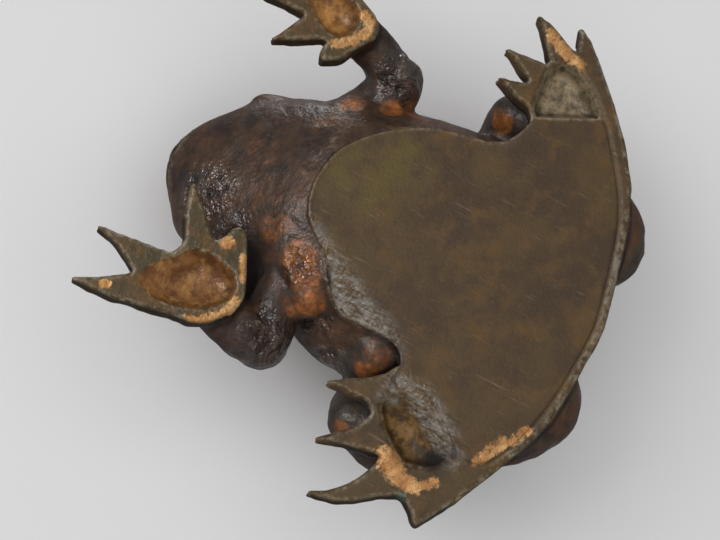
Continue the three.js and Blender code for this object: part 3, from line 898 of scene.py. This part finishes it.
# ---------------------------------------------------------------- materials
class Paint:
    """A material built in layers over one shader. Sizes of patterns are in millimetres."""

    def __init__(self, name):
        self.material = bpy.data.materials.new(name)
        self.material.use_nodes = True
        tree = self.material.node_tree
        self.nodes = tree.nodes
        self.links = tree.links
        self.shader = tree.nodes["Principled BSDF"]
        self.coordinates = tree.nodes.new("ShaderNodeTexCoord").outputs["Object"]

    def feed(self, value, socket):
        """Sets a socket from another one, from a colour, or from a plain number."""
        if isinstance(value, bpy.types.NodeSocket):
            self.links.new(value, socket)
        elif isinstance(value, tuple):
            socket.default_value = (*value, 1)
        else:
            socket.default_value = value

    def mark(self, name):
        """One of the values that mark() has stored on the mesh."""
        node = self.nodes.new("ShaderNodeAttribute")
        node.attribute_name = name
        return node.outputs["Fac"]

    def noise(self, size, detail=4.0, roughness=0.55, shift=0.0, stretch=None):
        node = self.nodes.new("ShaderNodeTexNoise")
        node.inputs["Scale"].default_value = 1 / (size * MM)
        node.inputs["Detail"].default_value = detail
        node.inputs["Roughness"].default_value = roughness
        mapping = self.nodes.new("ShaderNodeMapping")
        mapping.inputs["Location"].default_value = (shift, shift / 2, 0)
        if stretch:
            mapping.inputs["Rotation"].default_value = (0, 0, stretch[0])
            mapping.inputs["Scale"].default_value = (1, stretch[1], 1)
        self.links.new(self.coordinates, mapping.inputs["Vector"])
        self.links.new(mapping.outputs["Vector"], node.inputs["Vector"])
        return node.outputs["Fac"]

    def cells(self, size):
        node = self.nodes.new("ShaderNodeTexVoronoi")
        node.inputs["Scale"].default_value = 1 / (size * MM)
        self.links.new(self.coordinates, node.inputs["Vector"])
        return node.outputs["Distance"]

    def ramp(self, value, start, end, low=0.0, high=1.0):
        """A smooth step from the low value at the start to the high one at the end."""
        node = self.nodes.new("ShaderNodeMapRange")
        node.interpolation_type = "SMOOTHSTEP"
        self.feed(value, node.inputs["Value"])
        node.inputs["From Min"].default_value = start
        node.inputs["From Max"].default_value = end
        node.inputs["To Min"].default_value = low
        node.inputs["To Max"].default_value = high
        return node.outputs["Result"]

    def math(self, operation, *values):
        node = self.nodes.new("ShaderNodeMath")
        node.operation = operation
        for value, socket in zip(values, node.inputs):
            self.feed(value, socket)
        return node.outputs[0]

    def times(self, a, b):
        return self.math("MULTIPLY", a, b)

    def plus(self, a, b):
        return self.math("ADD", a, b)

    def scaled(self, value, factor, offset):
        return self.math("MULTIPLY_ADD", value, factor, offset)

    def blend(self, amount, a, b, kind="FLOAT"):
        node = self.nodes.new("ShaderNodeMix")
        node.data_type = kind
        self.feed(amount, node.inputs["Factor"])
        self.feed(a, node.inputs["A"])
        self.feed(b, node.inputs["B"])
        return node.outputs["Result"]

    def over(self, amount, under, colour):
        """A layer of colour over another colour, where the amount is above zero."""
        return self.blend(amount, under, colour, "RGBA")

    def over_mark(self, name, strength, under, colour):
        return self.over(self.times(self.mark(name), strength), under, colour)


DEEP_BROWN = (0.028, 0.017, 0.013)
BROWN = (0.064, 0.035, 0.020)
RED_BROWN = (0.110, 0.050, 0.026)
# near-black painted shade, for gaps, creases and the feet's side walls
SHADE_BLACK = (0.009, 0.006, 0.005)
OLIVE_BROWN = (0.086, 0.053, 0.020)
UMBER = (0.120, 0.064, 0.018)
PURPLE_BROWN = (0.060, 0.036, 0.019)
FOOT_OLIVE = (0.064, 0.050, 0.020)
GREEN_BROWN = (0.100, 0.070, 0.018)
ORANGE = (0.33, 0.112, 0.027)
RUST_BROWN = (0.14, 0.055, 0.020)
OCHRE = (0.26, 0.115, 0.035)
HONEY = (0.42, 0.23, 0.07)
TAN = (0.29, 0.22, 0.13)
BARE = (0.74, 0.43, 0.18)
BRASS_BROWN = (0.46, 0.22, 0.075)
# rubbed metal with a painted highlight, on the bevels of the rim and soles
POLISHED_AND_HIGHLIGHT = (0.27, 0.235, 0.165)
# pale dust on the belly's scratches, and the pale painted highlights on raised edges and painted glints on
# the belly's specks
DUST_AND_HIGHLIGHT = (0.30, 0.24, 0.16)
# grey painted sheen: the lamps' reflection on the smooth slopes by the plate
SHEEN_GREY = (0.22, 0.205, 0.175)
TEAL = (0.05, 0.20, 0.17)
GLOWING = (0.50, 0.25, 0.07)
DULL_TAN = (0.095, 0.075, 0.044)
DULL_GREEN = (0.07, 0.13, 0.09)
POCKET_BROWN = (0.052, 0.031, 0.011)
POCKET_GOLD = (0.21, 0.112, 0.031)
TONES = {
    "body_shell": BROWN,
    "front_leg_left": (0.060, 0.043, 0.032),
    "front_leg_right": (0.056, 0.038, 0.029),
    "hind_leg_left": (0.060, 0.048, 0.034),
    "hind_leg_right": (0.058, 0.047, 0.035),
    "base_plate": OLIVE_BROWN,
}


def casting_colour(paint, tone):
    """Brown patina, mottled, with red-brown and black patches."""
    colour = paint.over(paint.ramp(paint.noise(6, 8, 0.68), 0.36, 0.60), DEEP_BROWN, tone)
    reddish = paint.ramp(paint.noise(12, 7, 0.66, 3.1), 0.46, 0.66, 0, 0.75)
    return paint.over(reddish, colour, RED_BROWN)


def flat_colour(paint):
    """The belly: olive and umber patches, short scratches, and pale specks that are painted glints."""
    colour = paint.over(paint.ramp(paint.noise(17, 9, 0.68, 7.3), 0.40, 0.60), PURPLE_BROWN, OLIVE_BROWN)
    colour = paint.over(paint.ramp(paint.noise(11, 9, 0.7, 1.7), 0.48, 0.66, 0, 0.8), colour, UMBER)
    green = paint.times(paint.mark("olive"), paint.ramp(paint.noise(6, 7, 0.66, 4.4), 0.34, 0.62))
    colour = paint.over(green, colour, GREEN_BROWN)
    where = paint.ramp(paint.noise(14, 3, 0.5, 9.9), 0.50, 0.62)
    scratches = paint.ramp(paint.noise(0.9, 2, 0.5, 2.2, (-1.04, 0.05)), 0.64, 0.70, 0, 0.30)
    colour = paint.over(paint.times(scratches, where), colour, DUST_AND_HIGHLIGHT)
    fine = paint.ramp(paint.noise(0.6, 2, 0.6, 5.2, (-0.5, 0.1)), 0.66, 0.74, 0, 0.16)
    colour = paint.over(fine, colour, DUST_AND_HIGHLIGHT)
    # painted glints: pale specks over the belly
    specks = paint.ramp(paint.cells(1.1), 0.13, 0.05, 0, 0.4)
    specks = paint.times(specks, paint.ramp(paint.noise(5, 5, 0.7, 3.3), 0.50, 0.62))
    return paint.over(specks, colour, DUST_AND_HIGHLIGHT)


def brazing(paint, colour, patches):
    """Orange metal round the roots of the limbs, broken up by the brown."""
    rust = paint.mark("rust")
    amount = paint.plus(rust, paint.scaled(patches, 2.2, -1.15))
    amount = paint.times(paint.ramp(amount, 0.25, 0.95), paint.ramp(rust, 0.02, 0.45))
    hot = paint.times(paint.ramp(paint.noise(2.4, 6, 0.7, 1.9), 0.40, 0.62), paint.ramp(rust, 0.3, 0.95))
    return paint.over(amount, colour, paint.over(hot, RUST_BROWN, ORANGE))


def hollows(paint, colour, grain, patches):
    """The stained cups of the front feet and pockets of the hind feet."""
    cup = paint.over(paint.ramp(patches, 0.40, 0.60), RUST_BROWN, OCHRE)
    cup = paint.over(paint.ramp(paint.noise(3.4, 6, 0.66, 9.5), 0.50, 0.70, 0, 0.8), cup, HONEY)
    glow = paint.times(paint.mark("glow"), paint.ramp(patches, 0.36, 0.60, 0.2, 1))
    cup = paint.over(glow, cup, GLOWING)
    stained = paint.plus(paint.mark("cup"), paint.scaled(grain, 1.6, -0.8))
    stained = paint.times(paint.ramp(stained, 0.15, 0.75), paint.ramp(paint.mark("cup"), 0.0, 0.3))
    colour = paint.over(paint.times(stained, 0.92), colour, cup)
    tan = paint.over(paint.ramp(paint.noise(2.6, 7, 0.7, 2.8), 0.38, 0.60), DULL_TAN, TAN)
    tan = paint.over(paint.ramp(paint.noise(2.2, 5, 0.7, 6.6), 0.58, 0.68, 0, 0.5), tan, DULL_GREEN)
    colour = paint.over_mark("pocket_left", 0.92, colour, tan)
    gold = paint.over(paint.ramp(paint.noise(2.8, 7, 0.7, 7.7), 0.40, 0.62), POCKET_BROWN, POCKET_GOLD)
    return paint.over_mark("pocket_right", 0.92, colour, gold)


def bare_metal(paint, grain):
    """Where the gold-coloured metal shows: ragged at the edges of the worn places."""
    worn = paint.mark("worn")
    ragged = paint.plus(paint.noise(2.2, 8, 0.75, 3.7), grain)
    amount = paint.plus(worn, paint.scaled(ragged, 3.2, -3.2))
    amount = paint.times(paint.ramp(amount, 0.12, 0.90), paint.ramp(worn, 0.02, 0.4))
    return paint.times(amount, paint.ramp(paint.noise(0.6, 4, 0.7, 8.8), 0.36, 0.46, 0.35, 1))


def layers(paint, tone):
    """The colour of the metal and the amount of bare metal in it."""
    grain = paint.noise(1.4, 6, 0.72, 6.1)
    patches = paint.noise(4.0, 7, 0.68, 8.4)
    foot = paint.over(paint.ramp(patches, 0.40, 0.62), FOOT_OLIVE, UMBER)
    colour = paint.over_mark("foot", 0.85, casting_colour(paint, tone), foot)
    colour = paint.over(paint.mark("flat"), colour, flat_colour(paint))
    # painted sheen: grey streaks on the slope by the plate and beside the right pocket
    sheen_streaks = paint.ramp(paint.noise(1.5, 5, 0.65, 6.1, (-1.2, 0.3)), 0.40, 0.62, 0.05, 0.75)
    colour = paint.over_mark("grey", sheen_streaks, colour, SHEEN_GREY)
    colour = brazing(paint, colour, patches)
    colour = hollows(paint, colour, grain, patches)
    # painted highlight: pale along raised edges
    colour = paint.over_mark("edge", paint.ramp(grain, 0.42, 0.62, 0, 0.55), colour, DUST_AND_HIGHLIGHT)
    # painted shade on the feet's side walls above the bevel
    colour = paint.over_mark("side", 0.7, colour, SHADE_BLACK)
    # the bevel: rubbed metal with a painted highlight
    rubbed = paint.ramp(paint.noise(3.2, 7, 0.72, 5.5), 0.46, 0.60, 0.0, 0.8)
    colour = paint.over_mark("bevel", rubbed, colour, POLISHED_AND_HIGHLIGHT)
    # painted shade: near-black in the creases and hollows
    colour = paint.over_mark("hollow_shade", 0.8, colour, SHADE_BLACK)
    # painted shade: near-black in the armpit, the gap behind the right front foot and other notches
    colour = paint.over_mark("painted_shade", 0.96, colour, SHADE_BLACK)
    colour = paint.over_mark("verdigris", paint.ramp(grain, 0.42, 0.62, 0, 0.8), colour, TEAL)
    bare = bare_metal(paint, grain)
    metal = paint.over(paint.ramp(patches, 0.36, 0.60), BARE, BRASS_BROWN)
    return paint.over(bare, colour, metal), bare


def relief_of(paint):
    """Pits, grain and fine scratches, as one bump."""
    fine = paint.times(paint.noise(1.2, 3, 0.55, 0.4), 0.5)
    lumps = paint.plus(fine, paint.times(paint.noise(2.6, 2, 0.5, 1.4), 0.4))
    grain = paint.times(paint.noise(0.9, 6, 0.7, 0.4), 0.45)
    pits = paint.times(paint.ramp(paint.cells(1.7), 0.10, 0.50), 0.55)
    coarse = paint.plus(pits, paint.times(paint.noise(1.1, 1.5, 0.5), 1.7))
    coarse = paint.times(coarse, paint.plus(paint.mark("pitted"), paint.times(paint.mark("grey"), 0.6)))
    bump = paint.nodes.new("ShaderNodeBump")
    bump.inputs["Strength"].default_value = 0.9
    bump.inputs["Distance"].default_value = 0.6 * MM
    paint.feed(paint.plus(paint.blend(paint.mark("flat"), lumps, grain), coarse), bump.inputs["Height"])
    return bump.outputs["Normal"]


def roughness(paint, bare):
    """Glossy where the metal is pitted, rubbed or stained, and dull where shade is painted."""
    shine = paint.ramp(paint.noise(6, 5, 0.6, 2.7), 0.35, 0.65, 0.36, 0.56)
    belly = paint.ramp(paint.noise(3, 4, 0.6), 0.3, 0.7, 0.36, 0.56)
    for name, value in (("pitted", 0.22), ("bevel", 0.30), ("cup", 0.32), ("flat", belly),
                        ("grey", 0.30), ("painted_shade", 0.8)):
        shine = paint.blend(paint.mark(name), shine, value)
    return paint.blend(bare, shine, 0.48)


def wax(paint):
    """A clear, wet-looking coat over the pitted metal and where the grey sheen is painted."""
    amount = paint.plus(paint.mark("pitted"), paint.times(paint.mark("grey"), 0.8))
    amount = paint.times(amount, paint.ramp(paint.noise(5, 4, 0.6, 5.9), 0.36, 0.60, 0.35, 1))
    return paint.blend(paint.mark("painted_shade"), paint.scaled(amount, 0.9, 0.06), 0.0)


def bronze(name, tone):
    """The metal of one casting."""
    paint = Paint(name)
    colour, bare = layers(paint, tone)
    relief_normal = relief_of(paint)
    inputs = {
        "Base Color": colour,
        "Roughness": roughness(paint, bare),
        "Metallic": paint.scaled(bare, 0.45, 0.12),
        "Specular IOR Level": 0.32,
        "Coat Weight": wax(paint),
        "Coat Roughness": 0.12,
        "Coat IOR": 1.6,
        "Normal": relief_normal,
        "Coat Normal": relief_normal,
    }
    for socket, value in inputs.items():
        paint.feed(value, paint.shader.inputs[socket])
    return paint.material


# ---------------------------------------------------------------- stage and camera
LIT_POINT = (0, 0, 0.02)           # metres: what every light points at
CAMERA_AT = (-110.1, -21.8, -470.3)    # from the midline: below the frog, a little to its right
CAMERA_FORWARD = (0.20, 0.04, 1.0)
CAMERA_ROLL = math.radians(26.7)   # from the frog's left towards its front
LENS, SENSOR = 96, 36
PAPER = (0.72, 0.715, 0.715)
PAPER_HALF = 3.0                   # metres
PAPER_GAP = 2.5                    # between the back's CAD top and the paper behind it
DAYLIGHT = (0.97, 0.97, 1.0)


def area_light(name, at, size, power):
    data = bpy.data.lights.new(name, "AREA")
    data.shape = "DISK"
    data.size = size
    data.energy = power
    light = bpy.data.objects.new(name, data)
    light.location = at
    light.rotation_euler = (Vector(LIT_POINT) - Vector(at)).to_track_quat("-Z", "Y").to_euler()
    bpy.context.scene.collection.objects.link(light)
    return light


def lights(right, up, back):
    """The soft key and its glints come from the picture's upper left, the fill from behind the camera."""
    key = up * 0.45 - right * 0.70 + back * 1.15
    area_light("key", key, 0.9, 6.0)
    area_light("glints", key, 0.13, 6.0).visible_diffuse = False
    area_light("window", up * 0.9 - right * 0.9 + back * 0.7, 0.5, 1.2)
    area_light("fill", up * 0.1 + right * 0.30 + back * 1.5, 2.4, 20).visible_glossy = False
    area_light("overhead", (0.1, -0.15, 1.1), 0.5, 13).visible_glossy = False
    area_light("side", (0.95, -0.45, 0.42), 0.35, 2.2)


def paper_material(name):
    """Pale matte paper on the side that faces out, and nothing on the other side."""
    material = bpy.data.materials.new(name)
    material.use_nodes = True
    nodes, links = material.node_tree.nodes, material.node_tree.links
    shader = nodes["Principled BSDF"]
    shader.inputs["Base Color"].default_value = (*PAPER, 1)
    shader.inputs["Roughness"].default_value = 0.9
    shader.inputs["Specular IOR Level"].default_value = 0.1
    clear = nodes.new("ShaderNodeBsdfTransparent")
    side = nodes.new("ShaderNodeNewGeometry")
    mix = nodes.new("ShaderNodeMixShader")
    links.new(side.outputs["Backfacing"], mix.inputs[0])
    links.new(shader.outputs[0], mix.inputs[1])
    links.new(clear.outputs[0], mix.inputs[2])
    links.new(mix.outputs[0], nodes["Material Output"].inputs["Surface"])
    return material


def paper(name, height, shown_from_above):
    """A pale sheet that shows from one side only, so that it never hides the frog."""
    half = PAPER_HALF
    corners = [(-half, -half, height), (half, -half, height), (half, half, height), (-half, half, height)]
    order = (0, 1, 2, 3) if shown_from_above else (3, 2, 1, 0)
    mesh = bpy.data.meshes.new(name)
    mesh.from_pydata(corners, [], [order])
    mesh.materials.append(paper_material(name))
    sheet = bpy.data.objects.new(name, mesh)
    sheet.visible_shadow = False
    sheet.visible_diffuse = False
    sheet.visible_glossy = False
    bpy.context.scene.collection.objects.link(sheet)


def camera():
    """The picture's camera, looking up at the underside. Returns its right, up and back."""
    data = bpy.data.cameras.new("camera")
    data.lens = LENS
    data.sensor_width = SENSOR
    data.clip_start = 0.01
    data.clip_end = 20
    forward = Vector(CAMERA_FORWARD).normalized()
    up = Vector((math.cos(CAMERA_ROLL), -math.sin(CAMERA_ROLL), 0.0))
    up = (up - forward * up.dot(forward)).normalized()
    right = forward.cross(up)
    matrix = Matrix((right, up, -forward)).transposed().to_4x4()
    matrix.translation = (Vector(CAMERA_AT) + Vector((MIDLINE_X, FRONT_Y, 0))) * MM
    viewer = bpy.data.objects.new("camera", data)
    viewer.matrix_world = matrix
    bpy.context.scene.collection.objects.link(viewer)
    bpy.context.scene.camera = viewer
    return right, up, -forward


def world():
    surroundings = bpy.data.worlds.new("studio")
    surroundings.use_nodes = True
    background = surroundings.node_tree.nodes["Background"]
    background.inputs["Color"].default_value = (*DAYLIGHT, 1)
    background.inputs["Strength"].default_value = 0.22
    bpy.context.scene.world = surroundings


def main():
    world()
    lights(*camera())
    paper("paper_behind", (BACK_TOP + PAPER_GAP) * MM, False)
    paper("paper_under", 0.0, True)
    for node, tone in TONES.items():
        piece = cast(node)
        piece.data.materials.append(bronze(node + "_bronze", tone))


bpy.context.scene.view_settings.view_transform = "Standard"
main()
